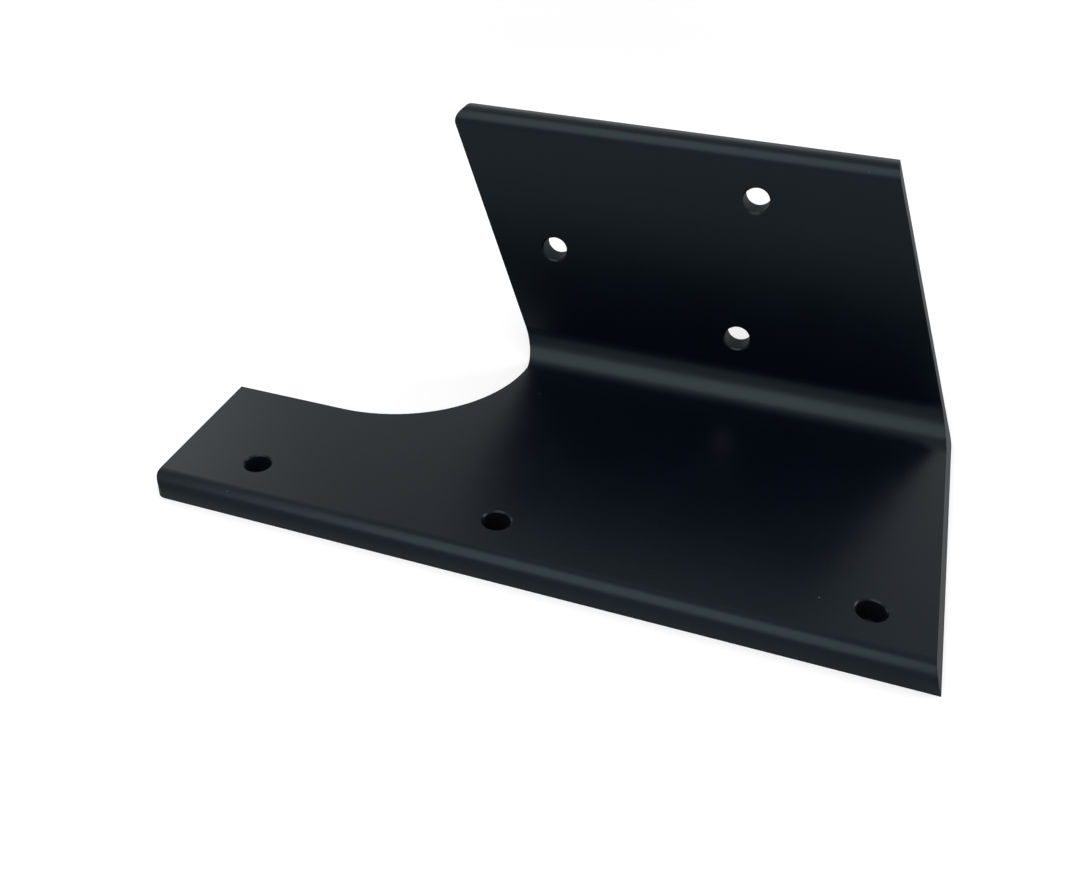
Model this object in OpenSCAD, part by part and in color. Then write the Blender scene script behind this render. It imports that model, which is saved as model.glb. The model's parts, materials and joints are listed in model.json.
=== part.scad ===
// L bracket cut from a length of rolled steel angle.
// Frame: origin in the middle of the rectangle that the part covers on the floor. X runs from
// the square end to the long cut end, Y from the toe of the base leg to the back face of the
// upright leg, Z up from the underside of the base leg. Millimetres.

/* [Section] */
// outside height of the upright leg
leg_h = 103.5; // [92:0.5:130]
// outside depth of the base leg
base_d = 126.5; // [110:0.5:150]
// thickness of both legs
leg_t = 8; // [6:0.5:10]
// radius of the fillet between the inner faces
root_r = 12; // [6:0.5:16]
// radius of the rounded inner edge of each toe
toe_r = 6; // [3:0.25:6]
// radius of the outer corner where the legs meet
heel_r = 3; // [1:0.25:5]

/* [Length and end cuts] */
// length of the base leg along its underside
base_l = 252.5; // [230:0.5:300]
// lean of the long cut end, and of the upright leg's free edge, degrees from square
lean = 20; // [0:0.5:24]
// length of the base leg beyond the foot of the upright leg
tongue_l = 96; // [70:0.5:99]
// width of the base leg where the upright leg is cut away
tongue_w = 58.5; // [40:0.5:64]
// radius of the inside corner of that cut
notch_r = 54; // [20:1:56]
// radius of the corners at the toes, at the square end and on the free edge
corner_r = 4; // [2:0.5:8]

/* [Holes in the base leg] */
// diameter of every hole, for M8
hole_d = 9; // [8.4:0.1:10]
// width of the broken edge round every hole
rim_w = 0.5; // [0.2:0.1:0.8]
// distance of the row of holes from the toe of the base leg
row_in = 19; // [14:0.5:24]
// distance of the first hole from the square end
row_a = 29.5; // [20:0.5:40]
// distance of the second hole from the square end
row_b = 115.5; // [100:0.5:130]
// distance of the third hole from the long cut end, along the underside
row_c_in = 21.5; // [14:0.5:40]

/* [Holes in the upright leg] */
// distance of the single hole from the square end
single_x = 102; // [96:0.5:110]
// height of the single hole
single_z = 55; // [45:0.5:60]
// distance of the pair, one above the other, from the square end
pair_x = 172; // [150:0.5:180]
// height of the lower hole of the pair
pair_low = 31.5; // [28:0.5:36]
// height of the upper hole of the pair
pair_high = 85.5; // [74:0.5:86]

/* [Hidden] */
$fn = 96;
over = 1;
back_in = base_d - tongue_w;
row_y = row_in - base_d;
row_c = base_l - row_c_in;

module corner_waste(r) {
  difference() {
    square([r + over, r + over]);
    circle(r = r);
  }
}

// section of the angle, seen along X: base leg toe at the left, heel at the origin
module angle_section() {
  difference() {
    union() {
      translate([-base_d, 0]) square([base_d, leg_t]);
      translate([-leg_t, 0]) square([leg_t, leg_h]);
      translate([-leg_t - root_r, leg_t]) difference() {
        square([root_r, root_r]);
        translate([0, root_r]) circle(r = root_r);
      }
    }
    translate([-base_d + toe_r, leg_t - toe_r]) mirror([1, 0]) corner_waste(toe_r);
    translate([-leg_t + toe_r, leg_h - toe_r]) mirror([1, 0]) corner_waste(toe_r);
    translate([-heel_r, heel_r]) mirror([0, 1]) corner_waste(heel_r);
  }
}

module angle_bar() {
  rotate([90, 0, 90]) linear_extrude(height = base_l) angle_section();
}

// everything beyond the leaning plane of the long cut end
module end_waste() {
  translate([base_l, 0, 0])
    rotate([0, -lean, 0])
      translate([0, -base_d - over, -leg_h])
        cube([leg_h, base_d + 2 * over, 3 * leg_h]);
}

// X of the upright leg's free edge at a height
function free_edge(z) = tongue_l - (z - leg_t) * tan(lean);

// what is cut from the upright leg, above the base leg, seen from the front
module side_outline() {
  top = leg_h + over;
  mid_z = leg_h - corner_r;
  mid_x = free_edge(mid_z) + corner_r / cos(lean);
  reach = corner_r + over;
  polygon([[-over, leg_t], [tongue_l, leg_t], [free_edge(top), top], [-over, top]]);
  difference() {
    polygon([
      [mid_x, mid_z],
      [mid_x, top],
      [free_edge(top) - over, top],
      [mid_x - reach * cos(lean), mid_z - reach * sin(lean)]
    ]);
    translate([mid_x, mid_z]) circle(r = corner_r);
  }
}

module side_waste() {
  translate([0, over, 0])
    rotate([90, 0, 0])
      linear_extrude(height = base_d + 2 * over)
        side_outline();
}

// the corner of the base leg between its toe and the square end
module foot_waste() {
  translate([corner_r, corner_r - base_d, -over])
    rotate([0, 0, 180])
      linear_extrude(height = leg_t + 2 * over)
        corner_waste(corner_r);
}

// what is cut from the back of the base leg, with its round inside corner
module notch_waste() {
  translate([0, 0, -over])
    linear_extrude(height = leg_t + over)
      difference() {
        translate([-over, -back_in]) square([tongue_l + over, back_in + over]);
        translate([tongue_l - notch_r, -back_in]) difference() {
          square([notch_r + over, notch_r]);
          translate([0, notch_r]) circle(r = notch_r);
        }
      }
}

// one through hole along Z from the origin, with both edges broken
module hole() {
  hole_r = hole_d / 2;
  translate([0, 0, -over]) cylinder(r = hole_r, h = leg_t + 2 * over);
  translate([0, 0, -over]) cylinder(r1 = hole_r + rim_w + over, r2 = hole_r, h = rim_w + over);
  translate([0, 0, leg_t - rim_w]) cylinder(r1 = hole_r, r2 = hole_r + rim_w + over, h = rim_w + over);
}

module base_hole(x) {
  translate([x, row_y, 0]) hole();
}

module upright_hole(x, z) {
  translate([x, 0, z]) rotate([90, 0, 0]) hole();
}

// drawn with the square end at X 0 and the back face at Y 0, then moved to the frame
module bracket() {
  color([0.09, 0.10, 0.12])
    translate([-base_l / 2, base_d / 2, 0])
      difference() {
        angle_bar();
        end_waste();
        side_waste();
        notch_waste();
        foot_waste();
        base_hole(row_a);
        base_hole(row_b);
        base_hole(row_c);
        upright_hole(single_x, single_z);
        upright_hole(pair_x, pair_low);
        upright_hole(pair_x, pair_high);
      }
}

bracket();
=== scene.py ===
# %% [markdown]
# # An L bracket cut from rolled steel angle
# The real object is one piece of steel: a short length of hot rolled angle, 8 mm thick, cut off
# along a leaning plane at one end, with a large rounded cut-away at the other, and six drilled
# holes. It is coated in satin black. The CAD model holds its whole shape, so this script keeps
# that solid and gives it what CAD can't: the coating, the steel's texture under it, and the light
# that shows both.

# %% Load the CAD model as the fixed frame
import json
import math
import bpy
import mathutils
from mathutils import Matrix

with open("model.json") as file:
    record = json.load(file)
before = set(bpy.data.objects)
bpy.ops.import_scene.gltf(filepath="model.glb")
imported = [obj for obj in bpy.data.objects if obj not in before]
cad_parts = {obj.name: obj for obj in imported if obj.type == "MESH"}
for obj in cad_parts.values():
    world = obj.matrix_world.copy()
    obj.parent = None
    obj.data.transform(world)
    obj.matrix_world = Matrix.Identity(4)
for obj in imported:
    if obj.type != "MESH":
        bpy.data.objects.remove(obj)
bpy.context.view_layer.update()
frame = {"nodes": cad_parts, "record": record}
bracket = frame["nodes"]["bracket"]
MM = 0.001  # one millimetre, because the frame is in metres

# %% [markdown]
# ## The camera
# The photograph looks down at the bracket from in front, a little to the right of its middle.
# The camera could be placed by eye, but here its place, turn and lens come from matching the
# round holes and the long cut edges: a circle seen at an angle is an ellipse, and six of them,
# with the edges, tell roughly where the camera stood. They don't settle it alone, because a
# nearer camera with a wider lens gives nearly the same picture.

# %% Place the camera
CAMERA_PLACE_MM = (82.42, -309.52, 244.36)
CAMERA_TURN_DEGREES = (57.407, -0.542, 19.692)
camera_data = bpy.data.cameras.new("camera")
camera_data.sensor_width = 36
camera_data.lens = 38.16
camera_data.shift_x = 0.0385
camera_data.shift_y = -0.0681
camera = bpy.data.objects.new("camera", camera_data)
camera.location = [value * MM for value in CAMERA_PLACE_MM]
camera.rotation_euler = [math.radians(angle) for angle in CAMERA_TURN_DEGREES]
bpy.context.scene.collection.objects.link(camera)
bpy.context.scene.camera = camera
print("camera to origin:", round(camera.location.length / MM), "mm")

# %% [markdown]
# ## Colours and nodes
# Colours are picked as sRGB hex values, as a paint chart or a colour picker gives them. Blender's
# shaders work in linear light, so one function turns a hex value to linear numbers, with the
# numbers of the sRGB standard. A second helper adds one shader node with its settings, values and
# links, so that each call below reads as one step of a finish.


# %% Turn a hex colour to linear light
def linear(hex_colour):
    parts = [int(hex_colour[start:start + 2], 16) / 255 for start in (1, 3, 5)]
    lit = [part / 12.92 if part <= 0.04045 else ((part + 0.055) / 1.055) ** 2.4 for part in parts]
    return (*lit, 1)


print("mid grey #808080 is", round(linear("#808080")[0], 3), "in linear light")


# %% Add a node with its settings and its links in one call
def add_node(tree, kind, settings=None, inputs=None):
    node = tree.nodes.new(kind)
    for name, value in (settings or {}).items():
        setattr(node, name, value)
    for name, value in (inputs or {}).items():
        if isinstance(value, bpy.types.NodeSocket):
            tree.links.new(value, node.inputs[name])
        else:
            node.inputs[name].default_value = value
    return node


# %% [markdown]
# ## The finish: satin black powder coating on rolled steel
# Powder is sprayed on dry and melted in an oven, where it flows into a film about 0.08 mm thick.
# The film hides the steel's colour but not all of its texture. It could be built as two layers,
# but no light reaches the steel, so one shader stands for both, and the steel's texture comes
# through as bump. It gives the eye a deep black with a soft shine, which still tells the rolled
# faces from the cut ones.

# %% Start the coating's material
coating = bpy.data.materials.new("satin_black_powder_coat")
coating.use_nodes = True
coat = coating.node_tree  # the tree that holds the material's nodes
coat.nodes.clear()
coordinates = add_node(coat, "ShaderNodeTexCoord")
coat_place = coordinates.outputs["Object"]
print(coating.name, "started")

# %% [markdown]
# ## Where the surface was cut
# The faces of a rolled angle are smooth, but a cut edge keeps the marks of the tool that made it,
# and they show through the coating. Each kind of face could have a material of its own, but the
# two are one solid here, so the material finds the cut ones by itself. A rolled face never leans
# along X, so any face whose normal has an X part was cut, and so was any face that looks back from
# in front of the upright leg. The holes are found by their distance from the middle of each bore,
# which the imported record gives. Their walls are grainy from the drill, but the broken edge round
# each hole was smoothed before it was coated, so it is left out of both kinds.

# %% Read the middle of each hole from the record
hole_middles = [mount["pos_m"] for mount in frame["record"]["mounts"] if mount["kind"] == "bore"]
print(len(hole_middles), "holes, the first at", hole_middles[0])


# %% Measure how far a point is from the nearest of them
def hole_distance(tree, place):
    nearest = None
    for middle in hole_middles:
        away = add_node(tree, "ShaderNodeVectorMath", {"operation": "DISTANCE"},
                        {0: place, 1: middle}).outputs["Value"]
        if nearest is None:
            nearest = away
        else:
            nearest = add_node(tree, "ShaderNodeMath", {"operation": "MINIMUM"},
                               {0: nearest, 1: away}).outputs["Value"]
    return nearest


from_hole = hole_distance(coat, coat_place)

# %% Find the faces that lean along X, and those that look back from in front of the upright leg
CUT_NORMAL_X = 0.12
BACK_NORMAL_Y = 0.3
UPRIGHT_FRONT = 55 * MM
normal = add_node(coat, "ShaderNodeSeparateXYZ", None, {"Vector": coordinates.outputs["Normal"]})
where = add_node(coat, "ShaderNodeSeparateXYZ", None, {"Vector": coat_place})
lean = add_node(coat, "ShaderNodeMath", {"operation": "ABSOLUTE"}, {0: normal.outputs["X"]})
leaning = add_node(coat, "ShaderNodeMath", {"operation": "GREATER_THAN"},
                   {0: lean.outputs["Value"], 1: CUT_NORMAL_X})
backward = add_node(coat, "ShaderNodeMath", {"operation": "GREATER_THAN"},
                    {0: normal.outputs["Y"], 1: BACK_NORMAL_Y})
ahead = add_node(coat, "ShaderNodeMath", {"operation": "LESS_THAN"},
                 {0: where.outputs["Y"], 1: UPRIGHT_FRONT})
rear_cut = add_node(coat, "ShaderNodeMath", {"operation": "MULTIPLY"},
                    {0: backward.outputs["Value"], 1: ahead.outputs["Value"]})
any_cut = add_node(coat, "ShaderNodeMath", {"operation": "MAXIMUM"},
                   {0: leaning.outputs["Value"], 1: rear_cut.outputs["Value"]})
print(f"cut faces: more than {CUT_NORMAL_X} of the normal along X, or {BACK_NORMAL_Y} along Y")

# %% Tell them from the holes: a wall ends 5.70 mm from its middle, and its broken edge at 6.40 mm
WALL_END = 5.72 * MM
RIM_END = 6.6 * MM
outside = add_node(coat, "ShaderNodeMath", {"operation": "GREATER_THAN"},
                   {0: from_hole, 1: RIM_END})
cut = add_node(coat, "ShaderNodeMath", {"operation": "MULTIPLY"},
               {0: any_cut.outputs["Value"], 1: outside.outputs["Value"]})
wall = add_node(coat, "ShaderNodeMath", {"operation": "LESS_THAN"}, {0: from_hole, 1: WALL_END})
print(f"hole walls within {WALL_END / MM:.2f} mm, cut edges beyond {RIM_END / MM:.2f} mm")

# %% [markdown]
# ## The film over the edges
# In the oven the film draws itself round over every sharp edge, by about 0.1 mm, and that thin
# line catches the light. It could be a bevel in the mesh, but the CAD mesh stays as it is, so the
# Bevel node turns the normals beside each edge instead.

# %% Round the film over the edges
FILM_ROUNDING = 0.1 * MM
ROUNDING_RAYS = 6
edge = add_node(coat, "ShaderNodeBevel", {"samples": ROUNDING_RAYS}, {"Radius": FILM_ROUNDING})
print(f"edges rounded by {FILM_ROUNDING / MM:.1f} mm")

# %% [markdown]
# ## Ripples in the film and in the steel
# The film sets with a slow ripple of its own, called orange peel. Under it, the mill's rolls have
# left faint marks along the bar. Both are far too shallow to change the outline, so they are bump
# and not mesh, and each one passes its normal on to the next. The rolling marks are the same kind
# of noise, with its coordinates squeezed along X, which draws it out along the bar.

# %% Orange peel: waves about 1.2 mm across
PEEL_SIZE = 1.2 * MM
PEEL_DEPTH = 0.1 * MM
PEEL_STRENGTH = 0.25
peel = add_node(coat, "ShaderNodeTexNoise", None,
                {"Vector": coat_place, "Scale": 1 / PEEL_SIZE, "Detail": 2.0, "Roughness": 0.5})
peel_bump = add_node(coat, "ShaderNodeBump", None,
                     {"Height": peel.outputs["Fac"], "Strength": PEEL_STRENGTH,
                      "Distance": PEEL_DEPTH, "Normal": edge.outputs["Normal"]})
print(f"orange peel {PEEL_SIZE / MM:.1f} mm across")

# %% Rolling marks: 3 mm across and 60 mm long
ROLLED_SIZE = 3 * MM
ROLLED_SQUEEZE = (0.05, 1, 1)
ROLLED_DEPTH = 0.1 * MM
ROLLED_STRENGTH = 0.22
along = add_node(coat, "ShaderNodeVectorMath", {"operation": "MULTIPLY"},
                 {0: coat_place, 1: ROLLED_SQUEEZE})
rolled = add_node(coat, "ShaderNodeTexNoise", None,
                  {"Vector": along.outputs["Vector"], "Scale": 1 / ROLLED_SIZE, "Detail": 2.0,
                   "Roughness": 0.5})
rolled_bump = add_node(coat, "ShaderNodeBump", None,
                       {"Height": rolled.outputs["Fac"], "Strength": ROLLED_STRENGTH,
                        "Distance": ROLLED_DEPTH, "Normal": peel_bump.outputs["Normal"]})
print(f"rolling marks {ROLLED_SIZE / MM:.0f} mm across")

# %% [markdown]
# ## Marks of the tools
# A cut leaves fine lines through the thickness of the leg, and a drill leaves the wall of its
# hole grainy. They could be painted on by hand, but the two masks from above place them exactly:
# each mask sets the strength of its bump, so the rolled faces have none. The lines run along Z in
# the base leg and along Y in the upright leg, so the coordinates are squeezed along one or the
# other.

# %% Cut marks: lines 0.9 mm apart, through the thickness
BASE_LEG_TOP = 8.01 * MM
MARKS_SIZE = 0.9 * MM
MARKS_DEPTH = 0.12 * MM
MARKS_STRENGTH = 0.5
BASE_SQUEEZE = (1, 1, 0.06)
UPRIGHT_SQUEEZE = (1, 0.06, 1)
upright = add_node(coat, "ShaderNodeMath", {"operation": "GREATER_THAN"},
                   {0: where.outputs["Z"], 1: BASE_LEG_TOP})
through = add_node(coat, "ShaderNodeMix", {"data_type": "VECTOR"},
                   {"Factor": upright.outputs["Value"], "A": BASE_SQUEEZE, "B": UPRIGHT_SQUEEZE})
squeezed = add_node(coat, "ShaderNodeVectorMath", {"operation": "MULTIPLY"},
                    {0: coat_place, 1: through.outputs["Result"]})
marks = add_node(coat, "ShaderNodeTexNoise", None,
                 {"Vector": squeezed.outputs["Vector"], "Scale": 1 / MARKS_SIZE, "Detail": 3.0,
                  "Roughness": 0.6})
marks_strength = add_node(coat, "ShaderNodeMath", {"operation": "MULTIPLY"},
                          {0: cut.outputs["Value"], 1: MARKS_STRENGTH})
marks_bump = add_node(coat, "ShaderNodeBump", None,
                      {"Height": marks.outputs["Fac"], "Strength": marks_strength.outputs["Value"],
                       "Distance": MARKS_DEPTH, "Normal": rolled_bump.outputs["Normal"]})
print(f"cut marks {MARKS_SIZE / MM:.1f} mm apart")

# %% Drilled walls: grains about 0.5 mm
GRAIN_SIZE = 0.5 * MM
GRAIN_DEPTH = 0.2 * MM
GRAIN_STRENGTH = 0.9
grain = add_node(coat, "ShaderNodeTexNoise", None,
                 {"Vector": coat_place, "Scale": 1 / GRAIN_SIZE, "Detail": 2.0, "Roughness": 0.7})
grain_strength = add_node(coat, "ShaderNodeMath", {"operation": "MULTIPLY"},
                          {0: wall.outputs["Value"], 1: GRAIN_STRENGTH})
grain_bump = add_node(coat, "ShaderNodeBump", None,
                      {"Height": grain.outputs["Fac"], "Strength": grain_strength.outputs["Value"],
                       "Distance": GRAIN_DEPTH, "Normal": marks_bump.outputs["Normal"]})
print(f"grains {GRAIN_SIZE / MM:.1f} mm in the hole walls")

# %% [markdown]
# ## The shine
# A satin film mirrors the room as a soft glow. One roughness for all of it would look too even, so
# it drifts a little over 25 mm, as it does where the powder melted unevenly. Cut steel makes the
# film over it scatter the light, so the cut edges and the hole walls are much rougher.

# %% Let the roughness drift, and raise it on cut steel
DRIFT_SIZE = 25 * MM
NOISE_LOW, NOISE_HIGH = 0.3, 0.7
SATIN_LOW, SATIN_HIGH = 0.29, 0.33
CUT_EXTRA = 0.35
drift = add_node(coat, "ShaderNodeTexNoise", None,
                 {"Vector": coat_place, "Scale": 1 / DRIFT_SIZE, "Detail": 3.0,
                  "Roughness": 0.55})
satin = add_node(coat, "ShaderNodeMapRange", None,
                 {"Value": drift.outputs["Fac"], "From Min": NOISE_LOW, "From Max": NOISE_HIGH,
                  "To Min": SATIN_LOW, "To Max": SATIN_HIGH})
coarse = add_node(coat, "ShaderNodeMath", {"operation": "MAXIMUM"},
                  {0: cut.outputs["Value"], 1: wall.outputs["Value"]})
roughness = add_node(coat, "ShaderNodeMath", {"operation": "MULTIPLY_ADD", "use_clamp": True},
                     {0: coarse.outputs["Value"], 1: CUT_EXTRA, 2: satin.outputs["Result"]})
print(f"roughness {SATIN_LOW} to {SATIN_HIGH}, and {CUT_EXTRA} more where the steel was cut")

# %% [markdown]
# ## Dust in the film
# A few pale specks of dust fell on the film before it set. They could be scattered as tiny meshes,
# but they lie inside the film, so they are colour only. Space is split into cells with one point
# in each, about one cell in four holds a speck at its point, and a speck shows where the surface
# passes through it.

# %% Specks about 0.5 mm across
DUST_CELL = 9 * MM
SPECK_EDGE, SPECK_CORE = 0.035, 0.02
DUST_LIMIT = 0.72
cells = add_node(coat, "ShaderNodeTexVoronoi", None,
                 {"Vector": coat_place, "Scale": 1 / DUST_CELL})
near = add_node(coat, "ShaderNodeMapRange", None,
                {"Value": cells.outputs["Distance"], "From Min": SPECK_EDGE,
                 "From Max": SPECK_CORE})
chosen = add_node(coat, "ShaderNodeSeparateColor", None, {"Color": cells.outputs["Color"]})
dusty = add_node(coat, "ShaderNodeMath", {"operation": "GREATER_THAN"},
                 {0: chosen.outputs["Red"], 1: DUST_LIMIT})
speck = add_node(coat, "ShaderNodeMath", {"operation": "MULTIPLY"},
                 {0: near.outputs["Result"], 1: dusty.outputs["Value"]})
print(f"a speck in {round(100 * (1 - DUST_LIMIT))} of 100 cells of {DUST_CELL / MM:.0f} mm")

# %% [markdown]
# ## Colour
# The film is a plastic, so it isn't metallic. Its pigment takes nearly all the light that enters,
# and what is left leans to blue. A matting agent keeps its shine low: the index of refraction was
# matched to the photograph and is below the 1.5 of a clear plastic, and the shine has a trace of
# blue too.

# %% Mix the colour and finish the coating
FILM_THICK = linear("#000208")
FILM_THIN = linear("#00040E")
DUST = linear("#5A5752")
FILM_SHINE = linear("#DFF8FF")
FILM_REFRACTION = 1.28
film = add_node(coat, "ShaderNodeMix", {"data_type": "RGBA"},
                {"Factor": drift.outputs["Fac"], "A": FILM_THICK, "B": FILM_THIN})
colour = add_node(coat, "ShaderNodeMix", {"data_type": "RGBA"},
                  {"Factor": speck.outputs["Value"], "A": film.outputs["Result"], "B": DUST})
surface = add_node(coat, "ShaderNodeBsdfPrincipled", None,
                   {"Base Color": colour.outputs["Result"],
                    "Roughness": roughness.outputs["Value"], "IOR": FILM_REFRACTION,
                    "Metallic": 0.0, "Specular Tint": FILM_SHINE,
                    "Normal": grain_bump.outputs["Normal"]})
add_node(coat, "ShaderNodeOutputMaterial", None, {"Surface": surface.outputs["BSDF"]})
print(coating.name, "has", len(coat.nodes), "nodes")

# %% Coat the bracket
for slot in bracket.material_slots:
    slot.material = coating
print("coated slots:", len(bracket.material_slots))

# %% [markdown]
# ## What is white behind the bracket
# The photograph stands the bracket on white. The floor is white paper, and the room round it is
# white too. The paper gives the eye a plain white with the bracket's soft shadow on it. At a plain
# light level it comes out a little under full white. More light would burn out the bracket's
# shine, so instead the rays that the camera sends find the paper lifted to white, straight, by
# way of a shiny face or through glass. The other rays don't, so the lift puts no light on the
# bracket.


# %% Tell the rays that look from the rays that light
def looking_rays(tree):
    ray = add_node(tree, "ShaderNodeLightPath")
    straight = add_node(tree, "ShaderNodeMath", {"operation": "MAXIMUM"},
                        {0: ray.outputs["Is Camera Ray"], 1: ray.outputs["Is Glossy Ray"]})
    return add_node(tree, "ShaderNodeMath", {"operation": "MAXIMUM"},
                    {0: straight.outputs["Value"],
                     1: ray.outputs["Is Transmission Ray"]}).outputs["Value"]


# %% Cut the sheet of paper, and lay it just under the bracket
FLOOR_REACH = 4.0
FLOOR_GAP = 0.05 * MM
floor_mesh = bpy.data.meshes.new("floor")
corners = [(x * FLOOR_REACH, y * FLOOR_REACH, -FLOOR_GAP)
           for x, y in ((-1, -1), (1, -1), (1, 1), (-1, 1))]
floor_mesh.from_pydata(corners, [], [(0, 1, 2, 3)])
floor = bpy.data.objects.new("floor", floor_mesh)
bpy.context.scene.collection.objects.link(floor)
print("floor", 2 * FLOOR_REACH, "m square")

# %% Paper, with shade painted into its colour at the bottom of each hole in the base leg
WHITE_PAPER = linear("#F2F2F2")
# Painted shade: a dark paper colour is put at the bottom of each hole in the base leg, where shade
# falls, instead of shade cast by the lamps.
PAINTED_HOLE_SHADE = linear("#20262E")
paper = bpy.data.materials.new("white_paper_floor")
paper.use_nodes = True
sheet = paper.node_tree
sheet.nodes.clear()
sheet_place = add_node(sheet, "ShaderNodeTexCoord").outputs["Object"]
outside_painted_shade = add_node(sheet, "ShaderNodeMath", {"operation": "GREATER_THAN"},
                      {0: hole_distance(sheet, sheet_place), 1: RIM_END})
shade = add_node(sheet, "ShaderNodeMix", {"data_type": "RGBA"},
                 {"Factor": outside_painted_shade.outputs["Value"], "A": PAINTED_HOLE_SHADE, "B": WHITE_PAPER})
plain_paper = add_node(sheet, "ShaderNodeBsdfDiffuse", None, {"Color": shade.outputs["Result"]})
print(f"paper shaded within {RIM_END / MM:.1f} mm of the middle of a hole")

# %% Lift it to white: the lamps light the middle of the floor, so the lift grows outwards
LIFT_FROM, LIFT_TO = 0.4, 1.4
NEAR_LIFT, FAR_LIFT = 0.27, 0.8
outwards = add_node(sheet, "ShaderNodeVectorMath", {"operation": "LENGTH"}, {0: sheet_place})
lift = add_node(sheet, "ShaderNodeMapRange", {"interpolation_type": "SMOOTHSTEP"},
                {"Value": outwards.outputs["Value"], "From Min": LIFT_FROM, "From Max": LIFT_TO,
                 "To Min": NEAR_LIFT, "To Max": FAR_LIFT})
# The lift to white is left off inside the painted shade, so the paper there stays dark.
lifted = add_node(sheet, "ShaderNodeMath", {"operation": "MULTIPLY"},
                  {0: looking_rays(sheet), 1: outside_painted_shade.outputs["Value"]})
lift_level = add_node(sheet, "ShaderNodeMath", {"operation": "MULTIPLY"},
                      {0: lifted.outputs["Value"], 1: lift.outputs["Result"]})
glow = add_node(sheet, "ShaderNodeEmission", None,
                {"Color": linear("#FFFFFF"), "Strength": lift_level.outputs["Value"]})
lifted_paper = add_node(sheet, "ShaderNodeAddShader", None,
                        {0: plain_paper.outputs["BSDF"], 1: glow.outputs["Emission"]})
add_node(sheet, "ShaderNodeOutputMaterial", None, {"Surface": lifted_paper.outputs["Shader"]})
floor_mesh.materials.append(paper)
print(f"paper lifted by {NEAR_LIFT} near the bracket and by {FAR_LIFT} from {LIFT_TO} m on")

# %% [markdown]
# ## The room
# The room gives a weak even light from all round, as white walls do. A picture of a studio could
# light it too, but plain walls have nothing in them to see, so one level is enough. The rays that
# look find the walls full white.

# %% Fill the room with soft light
ROOM_LIGHT = 0.28
ROOM_SEEN = 1.0
room = bpy.data.worlds.new("soft_room")
bpy.context.scene.world = room
room.use_nodes = True
walls = room.node_tree
walls.nodes.clear()
room_level = add_node(walls, "ShaderNodeMapRange", None,
                      {"Value": looking_rays(walls), "To Min": ROOM_LIGHT, "To Max": ROOM_SEEN})
room_light = add_node(walls, "ShaderNodeBackground", None,
                      {"Color": linear("#FFFFFF"), "Strength": room_level.outputs["Result"]})
add_node(walls, "ShaderNodeOutputWorld", None, {"Surface": room_light.outputs["Background"]})
print("room light", ROOM_LIGHT)

# %% [markdown]
# ## Lamps
# One large softbox hangs high in front of the bracket. It lights the floor and, with the white
# room, draws the soft bright band along each rounded edge and along the fillet. A small hard lamp
# would draw a thin streak there, which the photograph doesn't have. Two weaker ones stand low
# behind, right and left, so that the back and the ends show their shape too.


# %% Hang the lamps, each turned to the bracket
def softbox(name, place, side, watts):
    data = bpy.data.lights.new(name, "AREA")
    data.shape = "SQUARE"
    data.size = side
    data.energy = watts
    lamp = bpy.data.objects.new(name, data)
    bpy.context.scene.collection.objects.link(lamp)
    lamp.location = place
    to_bracket = -mathutils.Vector(place)
    lamp.rotation_euler = to_bracket.to_track_quat("-Z", "Y").to_euler()
    print(name, "gives", watts, "W")


softbox("key_softbox", (-0.10, -0.45, 0.90), 0.9, 7.0)
softbox("right_rear_softbox", (0.94, 0.54, 0.51), 0.7, 6.0)
softbox("left_rear_softbox", (-0.94, 0.54, 0.51), 0.7, 2.2)

# %% [markdown]
# ## Finish
# The colours are shown as they are, with no film look over them.

# %% Show plain colours
bpy.context.scene.view_settings.view_transform = "Standard"
